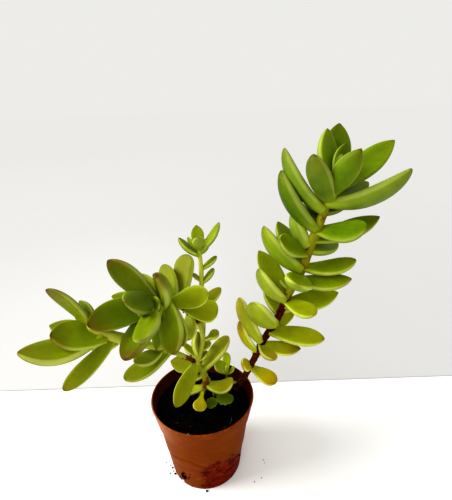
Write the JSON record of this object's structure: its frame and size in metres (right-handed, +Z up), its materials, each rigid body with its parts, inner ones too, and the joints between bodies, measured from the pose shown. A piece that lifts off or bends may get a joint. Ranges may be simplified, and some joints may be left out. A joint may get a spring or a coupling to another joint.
{
  "type": "potted succulent",
  "caption": "Young fleshy-leaved succulent with leaning leafy stems and rosettes, rooted in black potting mix in a small tapered plastic nursery pot",
  "frame": {"origin": "middle of the flat underside of the pot's base", "axes": "+Z up, along the pot's axis; -Y toward the viewer of the picture; +X to that viewer's right, the side over which the tall stem leans"},
  "size_m": [0.1503, 0.0726, 0.183],
  "materials": {
    "terracotta_plastic": "satin",
    "potting_mix": "matte",
    "fleshy_leaf": "satin",
    "young_leaf": "satin",
    "dark_leaf": "satin"
  },
  "bodies": {
    "root": {"pot": "terracotta_plastic", "potting_soil": "potting_mix", "tall_leafy_stem": "fleshy_leaf", "forked_leafy_stem": "fleshy_leaf", "offset_plantlet": "young_leaf", "scalloped_seedling": "dark_leaf"}
  },
  "joints": []
}
